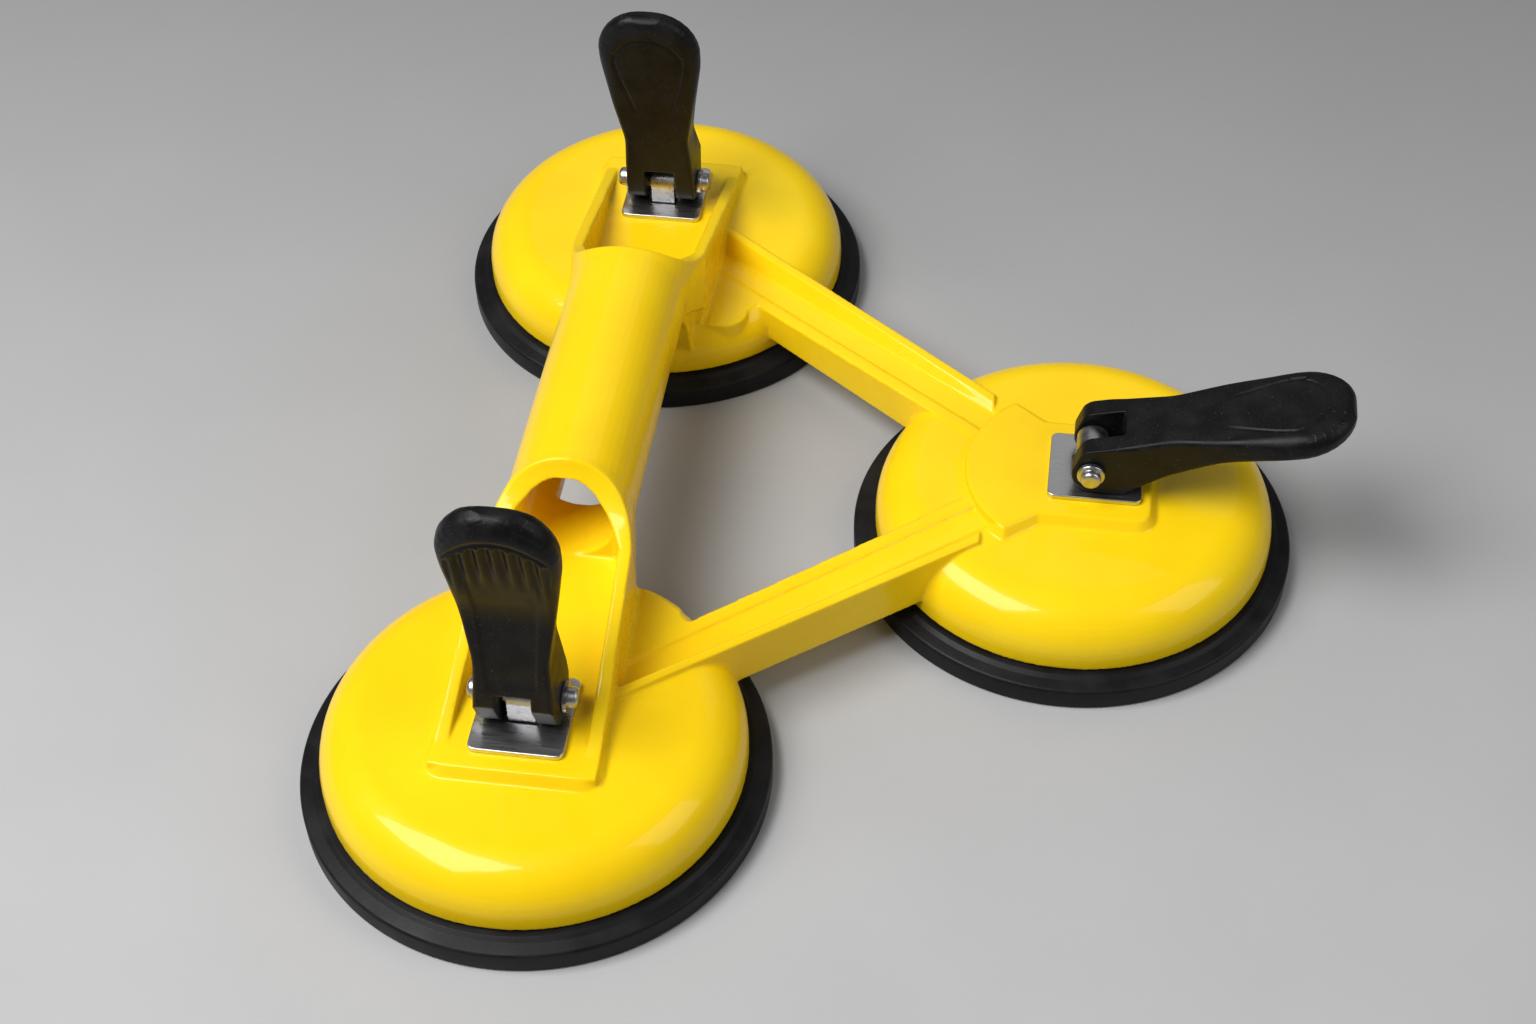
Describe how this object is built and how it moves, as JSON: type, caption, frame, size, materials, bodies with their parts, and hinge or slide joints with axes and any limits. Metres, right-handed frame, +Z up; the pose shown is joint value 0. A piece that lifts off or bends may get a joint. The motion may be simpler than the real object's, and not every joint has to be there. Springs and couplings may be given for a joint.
{
  "type": "triple suction cup lifter",
  "caption": "Hand lifter with rubber vacuum pads under a cast triangular frame with a tube handle; a folding lever on each pad pulls its middle up to grip glass, tile or sheet.",
  "frame": {"origin": "on the floor plane under the middle of the bounding box", "axes": "+Z up from the sealing faces, +Y along the handle from cup a to cup b, +X from the handle to cup c"},
  "size_m": [0.2594, 0.316, 0.1051],
  "materials": {
    "casting_paint": "glossy",
    "pad_rubber": "satin",
    "lever_plastic": "satin",
    "plate_steel": "brushed",
    "strap_steel": "bright",
    "core_steel": "plain",
    "pin_steel": "bright"
  },
  "bodies": {
    "frame": {"frame_casting": "casting_paint", "wear_plate_a": "plate_steel", "rubber_pad_a": "pad_rubber", "wear_plate_b": "plate_steel", "rubber_pad_b": "pad_rubber", "wear_plate_c": "plate_steel", "rubber_pad_c": "pad_rubber"},
    "stem_a": {"pull_strap_a": "strap_steel", "core_plate_a": "core_steel", "pivot_pin_a": "pin_steel", "pin_retainer_a": "pin_steel"},
    "lever_a": {"lever_a": "lever_plastic"},
    "stem_b": {"pull_strap_b": "strap_steel", "core_plate_b": "core_steel", "pivot_pin_b": "pin_steel", "pin_retainer_b": "pin_steel"},
    "lever_b": {"lever_b": "lever_plastic"},
    "stem_c": {"pull_strap_c": "strap_steel", "core_plate_c": "core_steel", "pivot_pin_c": "pin_steel", "pin_retainer_c": "pin_steel"},
    "lever_c": {"lever_c": "lever_plastic"}
  },
  "joints": [
    {"name": "stem_a_lift", "type": "slide", "parent": "frame", "child": "stem_a", "axis": [0, 0, 1], "range_m": [-0.00099, 0.00161], "deforming": ["rubber_pad_a"]},
    {"name": "lever_a_fold", "type": "hinge", "parent": "stem_a", "child": "lever_a", "pos_m": [-0.06975, -0.1015, 0.03599], "axis": [1, 0, 0], "range_deg": [-41, 67]},
    {"name": "stem_b_lift", "type": "slide", "parent": "frame", "child": "stem_b", "axis": [0, 0, 1], "range_m": [-0.0006, 0.002], "deforming": ["rubber_pad_b"]},
    {"name": "lever_b_fold", "type": "hinge", "parent": "stem_b", "child": "lever_b", "pos_m": [-0.06975, 0.1015, 0.0356], "axis": [-1, 0, 0], "range_deg": [-25, 83]},
    {"name": "stem_c_lift", "type": "slide", "parent": "frame", "child": "stem_c", "axis": [0, 0, 1], "range_m": [-0.0026, 0], "deforming": ["rubber_pad_c"]},
    {"name": "lever_c_fold", "type": "hinge", "parent": "stem_c", "child": "lever_c", "pos_m": [0.06375, 0, 0.0376], "axis": [0, 1, 0], "range_deg": [-108, 0]}
  ],
  "couplings": [
    {"joint": "stem_a_lift", "follows": "lever_a_fold", "m_per_rad": 0.0013793},
    {"joint": "stem_b_lift", "follows": "lever_b_fold", "m_per_rad": 0.0013793},
    {"joint": "stem_c_lift", "follows": "lever_c_fold", "m_per_rad": 0.0013793}
  ]
}
